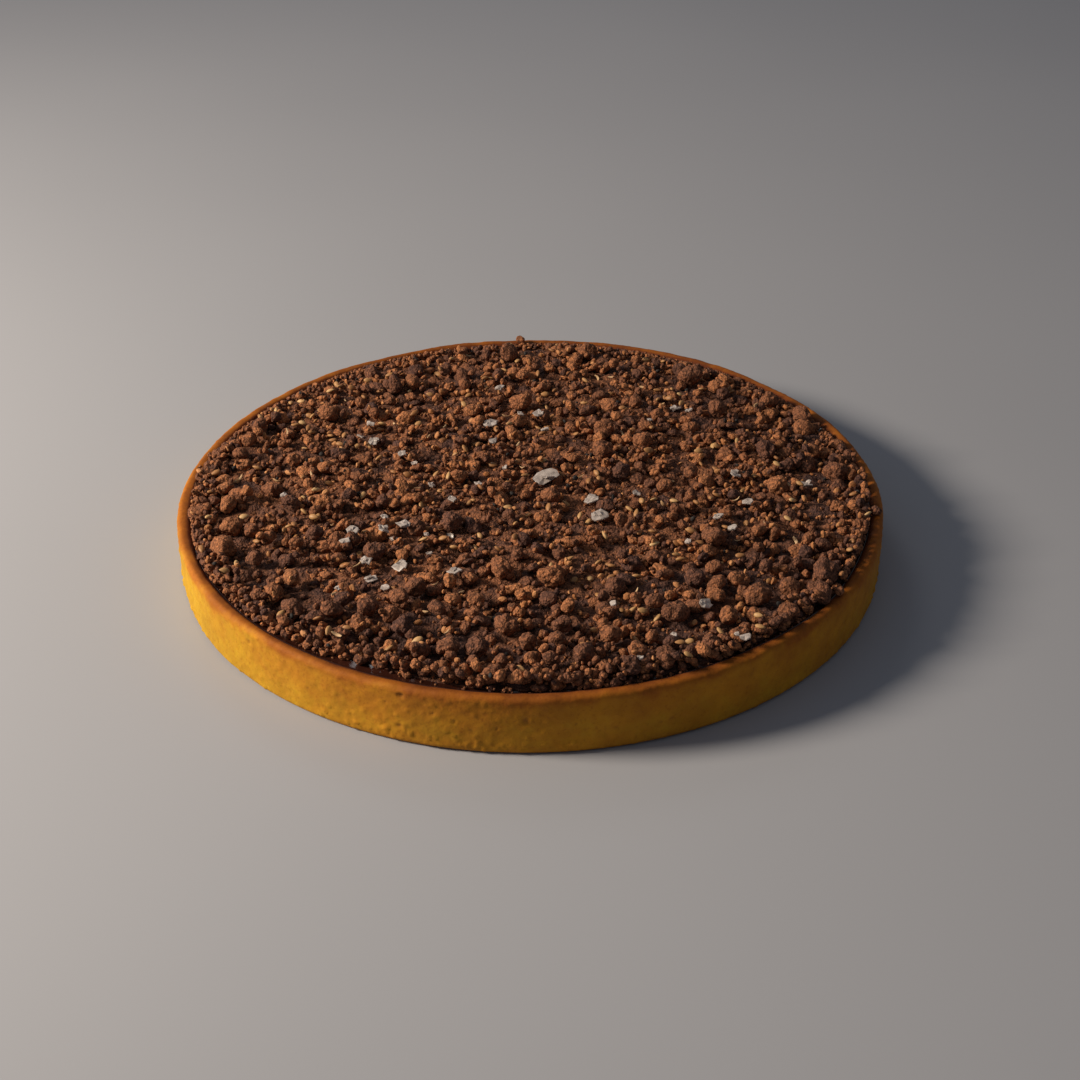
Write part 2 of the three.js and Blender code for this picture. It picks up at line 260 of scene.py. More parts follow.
class Shading:
    """A node material on one Principled shader, built a texture at a time in the object's own space."""

    def __init__(self, name, **settings):
        self.material = bpy.data.materials.new(name)
        self.material.use_nodes = True
        self.nodes = self.material.node_tree.nodes
        self.links = self.material.node_tree.links
        self.shader = self.nodes["Principled BSDF"]
        for key, value in settings.items():
            self.shader.inputs[key.replace("_", " ")].default_value = value
        self.place = self.nodes.new("ShaderNodeTexCoord").outputs["Object"]

    def to(self, socket, value):
        if hasattr(value, "links"):
            self.links.new(value, socket)
        else:
            socket.default_value = value

    def noise(self, size_mm, detail=2.0, roughness=0.5):
        node = self.nodes.new("ShaderNodeTexNoise")
        self.links.new(self.place, node.inputs["Vector"])
        node.inputs["Scale"].default_value = 1 / (size_mm * MM)
        node.inputs["Detail"].default_value = detail
        node.inputs["Roughness"].default_value = roughness
        return node.outputs["Fac"]

    def cells(self, size_mm):
        node = self.nodes.new("ShaderNodeTexVoronoi")
        self.links.new(self.place, node.inputs["Vector"])
        node.inputs["Scale"].default_value = 1 / (size_mm * MM)
        return node.outputs["Distance"]

    def attribute(self, name):
        node = self.nodes.new("ShaderNodeAttribute")
        node.attribute_name = name
        return node.outputs["Fac"]

    def sum(self, operation, a, b, clamp=False):
        """The sum or difference of two values, kept from 0 to 1 if clamped."""
        node = self.nodes.new("ShaderNodeMath")
        node.operation = operation
        node.use_clamp = clamp
        self.to(node.inputs[0], a)
        self.to(node.inputs[1], b)
        return node.outputs[0]

    def ramp(self, value, *stops):
        """Colours along a value: stops are (place, (red, green, blue))."""
        node = self.nodes.new("ShaderNodeValToRGB")
        self.links.new(value, node.inputs["Fac"])
        elements = node.color_ramp.elements
        while len(elements) < len(stops):
            elements.new(0.5)
        for element, (place, colour) in zip(elements, stops):
            element.position = place
            element.color = (*colour, 1)
        return node.outputs["Color"]

    def blend(self, share, a, b, kind="MIX"):
        node = self.nodes.new("ShaderNodeMix")
        node.data_type = "RGBA"
        node.blend_type = kind
        self.to(node.inputs["Factor"], share)
        self.to(node.inputs[6], a)
        self.to(node.inputs[7], b)
        return node.outputs[2]

    def spread(self, value, low, high):
        """A value from 0 to 1 spread over another range."""
        node = self.nodes.new("ShaderNodeMapRange")
        self.links.new(value, node.inputs["Value"])
        node.inputs["To Min"].default_value = low
        node.inputs["To Max"].default_value = high
        return node.outputs["Result"]

    def bump(self, *layers):
        """Relief from (value, depth in millimetres, strength) layers, each on top of the last."""
        normal = None
        for value, depth_mm, strength in layers:
            node = self.nodes.new("ShaderNodeBump")
            node.inputs["Distance"].default_value = depth_mm * MM
            node.inputs["Strength"].default_value = strength
            self.links.new(value, node.inputs["Height"])
            if normal:
                self.links.new(normal, node.inputs["Normal"])
            normal = node.outputs["Normal"]
        self.links.new(normal, self.shader.inputs["Normal"])

    def finish(self, colour, roughness=None):
        self.links.new(colour, self.shader.inputs["Base Color"])
        if roughness is not None:
            self.links.new(roughness, self.shader.inputs["Roughness"])
        return self.material


def crust_material():
    """Golden shortcrust: mottled, brown where the bake attribute is high, pale at the left and browner
    elsewhere as painted light and shade, and darkened in its pits as painted shade.
    """
    look = Shading("crust_golden", Specular_IOR_Level=0.28)
    golden = look.ramp(look.noise(14, 3), (0.32, (0.475, 0.266, 0.011)), (0.68, (0.600, 0.356, 0.014)))
    mottle = look.ramp(look.noise(4.2, 4, 0.55), (0.3, (0.88, 0.85, 0.81)), (0.65, (1.0, 1.0, 1.0)))
    side = look.blend(1.0, golden, mottle, "MULTIPLY")
    speckle = look.ramp(look.noise(0.9, 2), (0.30, (0.66, 0.52, 0.36)), (0.45, (1, 1, 1)))
    side = look.blend(0.4, side, look.blend(1.0, side, speckle, "MULTIPLY"))
    # Painted light and shade come in with the bake attribute: the crust is kept pale on the left under the
    # key light and browner round the other sides
    scorch_and_side_light = look.sum("ADD", look.attribute("bake"), look.spread(look.noise(2.6, 4, 0.65), -0.14, 0.14), True)
    browned_and_side_light = look.ramp(scorch_and_side_light, (0.04, (1, 1, 1)), (0.36, (0.90, 0.645, 0.62)), (0.68, (0.64, 0.335, 0.34)),
                        (1.0, (0.24, 0.085, 0.12)))
    baked = look.blend(1.0, side, browned_and_side_light, "MULTIPLY")
    # Painted shade darkens the pits
    pitted = look.blend(look.attribute("pit"), baked, (0.2, 0.068, 0.012, 1))
    look.bump((look.noise(5, 3), 0.5, 0.3), (look.noise(0.8, 4, 0.65), 0.2, 0.4))
    return look.finish(pitted, look.spread(look.noise(1.5, 2), 0.66, 0.9))


def filling_material():
    """Set dark chocolate: glossy, nearly black brown, with a faint skin."""
    look = Shading("chocolate_set", Specular_IOR_Level=0.5)
    colour = look.ramp(look.noise(7, 3), (0.35, (0.022, 0.007, 0.0045)), (0.7, (0.036, 0.011, 0.007)))
    look.bump((look.noise(6, 2), 0.3, 0.25), (look.noise(1.6, 2), 0.012, 0.3))
    return look.finish(colour, look.spread(look.noise(2.4, 3), 0.12, 0.26))


def crumb_material(name, dark, middle, light):
    """Dry cocoa crumb: each lump has its own tone, and is made of grains, darkened where they meet as painted
    shade in the creases.
    """
    look = Shading(name, Specular_IOR_Level=0.25)
    shade = look.sum("ADD", look.spread(look.attribute("tint"), 0.08, 0.92),
                     look.spread(look.noise(2.4, 4, 0.7), -0.32, 0.32), True)
    base = look.ramp(shade, (0.06, dark), (0.5, middle), (0.95, light))
    large, small = look.cells(1.3), look.cells(0.65)
    # Painted shade: darker towards the edges of the grain cells, in the creases, and a little lighter in
    # their middles
    crease_shade = look.blend(1.0, look.ramp(large, (0.4, (1.08, 1.06, 1.04)), (0.8, (0.60, 0.60, 0.63))),
                         look.ramp(small, (0.3, (1.12, 1.1, 1.06)), (0.8, (0.52, 0.52, 0.55))), "MULTIPLY")
    specks = look.ramp(look.noise(0.6, 2), (0.60, (1, 1, 1)), (0.74, (1.55, 1.4, 1.2)))
    colour = look.blend(1.0, look.blend(1.0, base, crease_shade, "MULTIPLY"), specks, "MULTIPLY")
    look.bump((look.noise(2.0, 4, 0.7), 0.8, 0.7), (look.sum("SUBTRACT", 1, large), 0.45, 1.0),
              (look.sum("SUBTRACT", 1, small), 0.26, 1.0))
    return look.finish(colour, look.spread(look.noise(0.8, 2), 0.82, 0.98))


def seed_material():
    """Toasted sesame: straw to golden brown, a little shiny."""
    look = Shading("sesame_toasted", Specular_IOR_Level=0.35)
    shade = look.sum("ADD", look.spread(look.attribute("tint"), 0.05, 0.95),
                     look.spread(look.noise(0.9, 3), -0.16, 0.16), True)
    colour = look.ramp(shade, (0.0, (0.27, 0.115, 0.04)), (0.5, (0.38, 0.19, 0.07)),
                       (0.88, (0.49, 0.29, 0.12)), (1.0, (0.60, 0.41, 0.20)))
    look.bump((look.noise(0.5, 3), 0.08, 0.5),)
    return look.finish(colour, look.spread(look.noise(0.7, 2), 0.42, 0.62))


def bit_material(name, low, high):
    """Broken nut, biscuit or burnt bits between two colours."""
    look = Shading(name, Specular_IOR_Level=0.3)
    shade = look.sum("ADD", look.spread(look.attribute("tint"), 0.1, 0.9),
                     look.spread(look.noise(0.8, 3), -0.3, 0.3), True)
    look.bump((look.noise(0.5, 4, 0.7), 0.2, 0.6),)
    return look.finish(look.ramp(shade, (0.0, low), (1.0, high)), look.spread(look.noise(0.6, 2), 0.6, 0.85))


def salt_material():
    """Sea salt: cloudy pale crystal that lets a little light through."""
    look = Shading("sea_salt", Specular_IOR_Level=0.5, Transmission_Weight=0.35, IOR=1.45)
    colour = look.ramp(look.noise(2.2, 4, 0.6), (0.3, (0.34, 0.29, 0.265)), (0.5, (0.56, 0.485, 0.44)),
                       (0.7, (0.74, 0.66, 0.60)))
    look.bump((look.cells(1.1), 0.12, 0.3), (look.noise(0.5, 3), 0.06, 0.4))
    return look.finish(colour, look.spread(look.noise(0.9, 2), 0.22, 0.5))


# The crust

def uneven(points):
    """The rise and fall of the rim and the swell of the wall's inner side, as the solids have them."""
    angle = np.arctan2(points[:, 1], points[:, 0])
    radius = np.hypot(points[:, 0], points[:, 1])
    height = points[:, 2]
    upper = smoothstep(0.45 * WALL_HEIGHT, WALL_HEIGHT, height)
    at_wall = smoothstep(INNER_RADIUS - 2, INNER_RADIUS, radius)
    inside = 1 - smoothstep(INNER_RADIUS, OUTER_RADIUS - 1, radius)
    near_wall = smoothstep(INNER_RADIUS - 14, INNER_RADIUS - 4, radius)
    moved = radius + RIM_SWELL * wave(angle, SWELL_BEATS) * inside * near_wall
    rise = RIM_RISE * wave(angle, RIM_BEATS) * upper * at_wall
    return np.stack([moved * np.cos(angle), moved * np.sin(angle), height + rise], 1)


# Pits that stand out in front, as (degrees to the right of the front, height, radius, depth)
LANDMARK_PITS = (
    (-1, 11.2, 1.5, 0.55), (-18.5, 16.0, 0.9, 0.7), (-14, 11.6, 0.7, 0.45), (-19, 5.6, 0.8, 0.5),
    (-11, 9.8, 0.6, 0.4), (-5, 8.6, 0.6, 0.45), (-46, 14.2, 0.9, 0.5), (-6.5, 13.2, 0.5, 0.4),
    (20, 6.8, 0.7, 0.4), (6, 9.5, 0.5, 0.4), (-21, 12.8, 0.5, 0.35), (-34, 9.0, 0.45, 0.3),
)
PIT_COUNT = 110


def crust_profile():
    """The crust's section as (radius, height), from the middle of its underside to the middle inside."""
    step, corner = 0.55, 1.7
    foot = [(0, 0), (OUTER_RADIUS - 1.4, 0), (OUTER_RADIUS - 0.9, 0.04), (OUTER_RADIUS - 0.5, 0.3),
            (OUTER_RADIUS - 0.2, 0.75), (OUTER_RADIUS - 0.05, 1.2)]
    side = [(OUTER_RADIUS, height) for height in np.arange(1.8, WALL_HEIGHT - corner, step)]
    outer = [(OUTER_RADIUS - corner * (1 - math.cos(turn)), WALL_HEIGHT - corner * (1 - math.sin(turn)))
             for turn in np.linspace(0, math.pi / 2, 7)]
    crown = [(INNER_RADIUS + 2.0, WALL_HEIGHT - 0.06), (INNER_RADIUS + 1.5, WALL_HEIGHT - 0.15),
             (INNER_RADIUS + 1.0, WALL_HEIGHT - 0.34), (INNER_RADIUS + 0.6, WALL_HEIGHT - 0.6),
             (INNER_RADIUS + 0.25, WALL_HEIGHT - 1.0), (INNER_RADIUS, WALL_HEIGHT - 1.5)]
    inner = [(INNER_RADIUS - 0.1, WALL_HEIGHT - 2.4), (INNER_RADIUS - 0.5, BASE_THICKNESS + 2.2),
             (INNER_RADIUS - 2.3, BASE_THICKNESS), (0, BASE_THICKNESS)]
    return foot + side + outer + crown + inner


def press_pits(angle, height, on_side):
    """How deep the side is at its pits, round dents with a faint raised lip, and how dark they are painted:
    painted shade, darker the deeper the pit.
    """
    rng = np.random.default_rng(31)
    pits = [(math.radians(degrees - 90), z, r, depth) for degrees, z, r, depth in LANDMARK_PITS]
    while len(pits) < PIT_COUNT:
        size = mix(0.28, 0.8, rng.random() ** 2.6)
        pits.append((rng.uniform(0, TAU), mix(1.6, 16.2, rng.random()), size, size * rng.uniform(0.35, 0.7)))
    dent, dark = np.zeros(len(angle)), np.zeros(len(angle))
    for where, z, size, depth in pits:
        along = ((angle - where + math.pi) % TAU - math.pi) * OUTER_RADIUS
        near = on_side & (np.abs(along) < 3 * size) & (np.abs(height - z) < 3 * size)
        skew = 1 + 0.25 * math.sin(7 * where)
        apart = np.hypot(along[near] * skew, height[near] - z) / size
        dent[near] += 0.7 * depth * (np.exp(-(apart ** 2) * 1.4) - 0.2 * np.exp(-((apart - 1.45) ** 2) * 5))
        # Painted shade: the pits are darkened in colour, the deeper ones more
        dark[near] = np.maximum(dark[near], np.exp(-(apart ** 2) * 2.2) * min(1, depth * 1.7))
    return dent, np.clip(0.75 * dark, 0, 1)


def browning_and_side_light(points, angle, radius, height):
    """How brown the crust is: palest at the left, where the key light falls, as painted light, and browner on
    the sides turned from it, as painted shade; most on the rim, dark in a thin line at its inner edge.
    """
    blotch = 1.1 * ripple(points, 13, 8) + 0.5 * ripple(points, 4, 9)
    over_top = smoothstep(WALL_HEIGHT - 3.4, WALL_HEIGHT, height + 0.5 * blotch)
    inwards = smoothstep(INNER_RADIUS + 1.7, INNER_RADIUS + 0.1, radius) * (height > WALL_HEIGHT - 3)
    bake = 0.14 * smoothstep(4, 16, height) + 0.48 * over_top + 0.45 * inwards * (radius > INNER_RADIUS - 1)
    bake += 0.14 * smoothstep(OUTER_RADIUS - 0.5, OUTER_RADIUS - 2, radius) * (height > WALL_HEIGHT - 2)
    bake += 0.1 * (1 - smoothstep(0, 1.6, height)) + 0.045 * blotch
    # Painted light and shade: the left side, under the key light, stays pale and yellow, and the sides turned
    # away from it grow browner
    bake += 0.31 * (1 - smoothstep(0.35, 1, -np.cos(angle))) * (1 - 0.8 * over_top)
    return np.clip(bake, 0, 1)


def make_crust(material):
    around = 1080
    points, quads, fans = turned(crust_profile(), around)
    height = points[:, 2].copy()
    points = uneven(points)
    radius = np.hypot(points[:, 0], points[:, 1])
    angle = np.arctan2(points[:, 1], points[:, 0])
    outward = np.stack([np.cos(angle), np.sin(angle), np.zeros(len(angle))], 1)
    on_side = (radius > OUTER_RADIUS - 2.6) & (height > 0.5)
    dent, pit = press_pits(angle, height, on_side)

    # Gentle waves, fine grain, and crumbs that stand out low on the side
    roll = 0.16 * ripple(points, 34, 1) + 0.07 * ripple(points, 9, 2) + 0.045 * ripple(points, 2.4, 3)
    low_side = 1 - smoothstep(1.5, 8, height)
    crumbs = np.maximum(0, ripple(points, 2.2, 4) - 0.55) * (0.2 + 0.5 * low_side)
    push = np.where(on_side, roll + crumbs - dent, 0) * smoothstep(0.2, 1.2, height)
    points = points + outward * np.minimum(push, 0.35)[:, None]
    on_top = smoothstep(WALL_HEIGHT - 1.6, WALL_HEIGHT - 0.3, height) * (radius > INNER_RADIUS - 0.5)
    crags = 0.09 * ripple(points, 7, 5) + 0.025 * ripple(points, 2.2, 6)
    points[:, 2] += on_top * crags
    mesh_object("crust_shell", points, [quads, fans], "crust", "crust", material,
                bake=browning_and_side_light(points, angle, radius, height), pit=pit)


# The filling

def make_filling(material):
    around, drawn_up = 480, 0.45
    side = INNER_RADIUS - 0.02
    foot = [(0, BASE_THICKNESS), (side - 2.3, BASE_THICKNESS), (side - 0.5, BASE_THICKNESS + 2.4)]
    edge = [(side, FILLING_TOP + drawn_up), (side - 0.3, FILLING_TOP + 0.42 * drawn_up),
            (side - 0.8, FILLING_TOP + 0.14 * drawn_up), (side - 1.5, FILLING_TOP + 0.02)]
    flat = [(radius, FILLING_TOP) for radius in (103.2, 102.2, 101.2, 100, 98, 94, 80, 60, 40, 20)]
    points, quads, fans = turned(foot + edge + flat + [(0, FILLING_TOP)], around)
    points = uneven(points)
    on_top = points[:, 2] > FILLING_TOP - 0.5
    points[:, 2] += on_top * (0.09 * ripple(points, 15, 11) + 0.04 * ripple(points, 5, 12))
    mesh_object("chocolate_filling", points, [quads, fans], "filling", "filling", material)


# The heap

def heap_edge(angle):
    away = np.arctan2(np.sin(angle - BARE_ANGLE), np.cos(angle - BARE_ANGLE))
    bare = np.exp(-((away / BARE_WIDTH) ** 2))
    return HEAP_RADIUS + HEAP_WAVE * wave(angle, HEAP_BEATS) - BARE_DEPTH * bare


def core_top(x, y):
    shoulder = 14
    share = np.minimum(1, np.hypot(x, y) / heap_edge(np.arctan2(y, x)))
    return FILLING_TOP + HEAP_DEPTH * np.sqrt(1 - share ** shoulder)


def coarse_share(x, y):
    """How likely a coarse lump is at a place: mostly in front and at the right, near the rim."""
    edge = smoothstep(0.45, 0.9, np.hypot(x, y) / HEAP_RADIUS)
    front = smoothstep(0.1, 0.85, -y / HEAP_RADIUS)
    right = smoothstep(0.2, 0.9, x / HEAP_RADIUS)
    return 0.08 + edge * (0.16 + 0.24 * right + 0.55 * front)


def coarse_lumps():
    """The solids' own coarse lumps, as rows of (x, y, size)."""
    closest, back_room = 0.48, 5
    draw = seeded(LUMP_SEED)
    lumps = [tuple(lump) for lump in LANDMARK_LUMPS]
    for _ in range(LUMP_TRIES):
        angle = TAU * next(draw)
        radius = (HEAP_RADIUS - 1) * math.sqrt(next(draw))
        size = mix(*LUMP_SIZES, next(draw) ** 1.8)
        chance = next(draw)
        x, y = radius * math.cos(angle), radius * math.sin(angle)
        limit = heap_edge(angle) + 0.4 - size / 2
        limit -= back_room * smoothstep(0, 0.6, y / HEAP_RADIUS)
        apart = all(math.hypot(a - x, b - y) > closest * (c + size) for a, b, c in lumps)
        if radius < limit and chance < coarse_share(x, y) and apart:
            lumps.append((x, y, size))
    return np.array(lumps)


def lump_height(x, y, size):
    """Where the middle of a coarse lump is: sunk a third into the heap, or resting on the filling."""
    return np.maximum(core_top(x, y) + 0.17 * size, FILLING_TOP + 0.42 * size)


# How far the fine crumb lies under the heap's top: among fine crumbs and among coarse lumps
BED_DROP = (1.9, 2.8)


def bed_top(x, y):
    """The fine crumb that everything lies on: lower than the heap's top, thrown about by its own grains."""
    points = np.stack([x, y, np.zeros(np.shape(x))], -1)
    grains = 0.7 * ripple(points, 18, 20) + 0.5 * ripple(points, 7, 21) + 0.5 * ripple(points, 3.2, 22)
    depth = core_top(x, y) - FILLING_TOP
    share = depth / HEAP_DEPTH
    drop = mix(*BED_DROP, coarse_share(x, y))
    return FILLING_TOP + np.maximum(0.15, depth - drop * share + grains * share)


def make_bed(material):
    rings = 104
    points, faces = [np.zeros((1, 2))], []
    for ring in range(1, rings + 1):
        angle = np.arange(6 * ring) * TAU / (6 * ring)
        radius = heap_edge(angle) * ring / rings
        points.append(np.stack([radius * np.cos(angle), radius * np.sin(angle)], 1))
        start, before = 1 + 3 * ring * (ring - 1), 1 + 3 * (ring - 1) * (ring - 2)
        sector, i = np.divmod(np.arange(6 * ring), ring)
        outer = start + np.arange(6 * ring)
        outer_next = start + (np.arange(6 * ring) + 1) % (6 * ring)
        count = max(1, 6 * (ring - 1))
        inner = (0 if ring == 1 else before) + (sector * (ring - 1) + i) % count
        inner_next = (0 if ring == 1 else before) + (sector * (ring - 1) + i + 1) % count
        faces.append(np.stack([inner, outer, outer_next], 1))
        second = i < ring - 1
        faces.append(np.stack([inner, outer_next, inner_next], 1)[second])
    flat = np.concatenate(points)
    top = np.column_stack([flat, bed_top(flat[:, 0], flat[:, 1])])
    edge = 1 + 3 * rings * (rings - 1)
    foot = FILLING_TOP - 0.3
    rim = top[edge:].copy()
    rim[:, 2] = foot
    under = np.concatenate([top, rim, [[0, 0, foot]]])
    here = np.arange(6 * rings)
    after = (here + 1) % (6 * rings)
    low, centre = len(top), len(under) - 1
    skirt = np.stack([edge + here, low + here, low + after, edge + after], 1)
    base = np.stack([np.full(6 * rings, centre), low + after, low + here], 1)
    # Painted shade: the bed's tint is a random tone, made darker among the coarse lumps, in the deep gaps
    # between them
    tint = 0.4 + 0.25 * ripple(under, 11, 24) - 0.45 * coarse_share(under[:, 0], under[:, 1])
    mesh_object("crumble_bed", under, [np.concatenate(faces + [base]), skirt], "crumble", "crumble", material,
                tint=np.clip(tint, 0, 1))


class Heap:
    """How high the crumbs stand so far, on a square grid, and where the next one comes to rest."""
    CELL = 0.5
    MARK_SPREAD = 0.55
    MARK_HEIGHT = 0.68
    STEADY_SLOPE = 0.12
    TRIES_EACH = 12

    def __init__(self):
        self.reach = OUTER_RADIUS + 6
        axis = np.arange(-self.reach, self.reach + self.CELL, self.CELL)
        x, y = np.meshgrid(axis, axis, indexing="ij")
        radius = np.hypot(x, y)
        self.height = np.where(radius < heap_edge(np.arctan2(y, x)), bed_top(x, y), FILLING_TOP)
        on_rim = (radius > INNER_RADIUS - 0.4) & (radius < OUTER_RADIUS)
        crown = mix(FILLING_TOP, WALL_HEIGHT, smoothstep(INNER_RADIUS - 0.4, INNER_RADIUS + 1.2, radius))
        self.height = np.where(on_rim, crown, self.height)

    def index(self, value):
        return int(round((value + self.reach) / self.CELL))

    def rest(self, x, y, radius, rise, sink, footing=1):
        """The height of a crumb's middle at a place, and the mark that it leaves.

        Its top is rise above its middle, and it sinks in by a share of that. What lies within the footing,
        a share of its radius, holds it up, and it grows into what is beyond.
        """
        i, j, span = self.index(x), self.index(y), max(1, int(radius / self.CELL))
        patch = self.height[i - span:i + span + 1, j - span:j + span + 1]
        steps = np.arange(-span, span + 1) * self.CELL
        apart = (steps[:, None] ** 2 + steps[None] ** 2) / (radius + 0.2) ** 2
        cap = rise * np.sqrt(np.clip(1 - apart, 0, 1))
        level = np.max((patch + cap)[apart < footing ** 2])
        return level - sink * rise, (i, j, span, cap, apart)

    def fill(self, middle, mark):
        """Raises the heap by a crumb, a little less than its full size, because its edges are worn."""
        i, j, span, cap, apart = mark
        patch = self.height[i - span:i + span + 1, j - span:j + span + 1]
        inside = apart < self.MARK_SPREAD
        patch[inside] = np.maximum(patch[inside], middle + self.MARK_HEIGHT * cap[inside])

    def roll(self, x, y, stride, steps):
        """Moves a crumb downhill a few strides."""
        around = np.arange(8) * TAU / 8
        offsets = np.stack([np.cos(around), np.sin(around)], 1) * stride
        for _ in range(steps):
            spots = offsets + (x, y)
            i = np.round((spots[:, 0] + self.reach) / self.CELL).astype(int)
            j = np.round((spots[:, 1] + self.reach) / self.CELL).astype(int)
            heights = self.height[i, j]
            lowest = heights.argmin()
            here = self.height[self.index(x), self.index(y)]
            if heights[lowest] >= here - self.STEADY_SLOPE * stride:
                break
            x, y = spots[lowest]
        return x, y

    def strew(self, rng, count, sizes, skew, chance, rise=0.8, sink=0.3, steps=5, ceiling=23.4, inner=0,
              footing=0.6):
        """Drops crumbs at random, chance(x, y) as likely at a place. Returns their middles and radii."""
        spots, radii = [], []
        tries = 0
        while len(spots) < count and tries < self.TRIES_EACH * count:
            tries += 1
            angle, spread = rng.uniform(0, TAU), rng.random()
            radius = mix(*sizes, rng.random() ** skew) / 2
            lot = rng.random()
            out = math.sqrt(mix(inner ** 2, (HEAP_RADIUS + 1.6) ** 2, spread))
            x, y = out * math.cos(angle), out * math.sin(angle)
            if lot > chance(x, y):
                continue
            x, y = self.roll(x, y, max(0.7, radius), steps)
            out, limit = math.hypot(x, y), strewn_edge(math.atan2(y, x)) - 0.7 * radius
            if out > limit:
                x, y = x * limit / out, y * limit / out
            middle, mark = self.rest(x, y, radius, rise * radius, sink, footing)
            if middle + rise * radius > min(ceiling, lid(x, y)):
                continue
            self.fill(middle, mark)
            spots.append((x, y, middle))
            radii.append(radius)
        return np.array(spots), np.array(radii)


def strewn_edge(angle):
    """How far out loose crumbs lie: a little beyond the heap's own edge, up to the crust."""
    return heap_edge(angle) + 1.5


def lid(x, y):
    """How high loose crumbs reach near the back rim, which stays in sight over them."""
    view_slope = 0.6
    front = 1 - smoothstep(-0.1, 0.35, y / HEAP_RADIUS)
    return WALL_HEIGHT + 0.1 + view_slope * (INNER_RADIUS - math.hypot(x, y)) + 9 * front


def lay_by_size(name, spots, radii, details, rng, material, tilt, shape, tints=(0, 1)):
    """Lumps of crumble in two meshes: finer ones from the given radius up, and coarser ones under it."""
    least, fine, coarse = details
    for suffix, detail, chosen in (("", fine, radii >= least), ("_lesser", coarse, radii < least)):
        points, faces = ball(detail)
        count = chosen.sum()
        forms = rough_balls(points, rng, count, **shape)
        strewn(name + suffix, forms, faces, spots[chosen], radii[chosen], turns(rng, count, tilt), material,
               rng, tints)


def everywhere(x, y):
    return 1


def between_lumps(x, y):
    """Less likely among the coarse lumps, but as likely as elsewhere along the crust."""
    return 1 - 0.62 * coarse_share(x, y) * (math.hypot(x, y) < HEAP_RADIUS - 5)


def beside_lumps(x, y):
    """More likely among the coarse lumps and outwards."""
    return 0.25 + 0.2 * smoothstep(0.5, 0.95, math.hypot(x, y) / HEAP_RADIUS) + 0.8 * coarse_share(x, y)


def in_front(x, y):
    return 1 - 0.6 * smoothstep(0, 60, y)


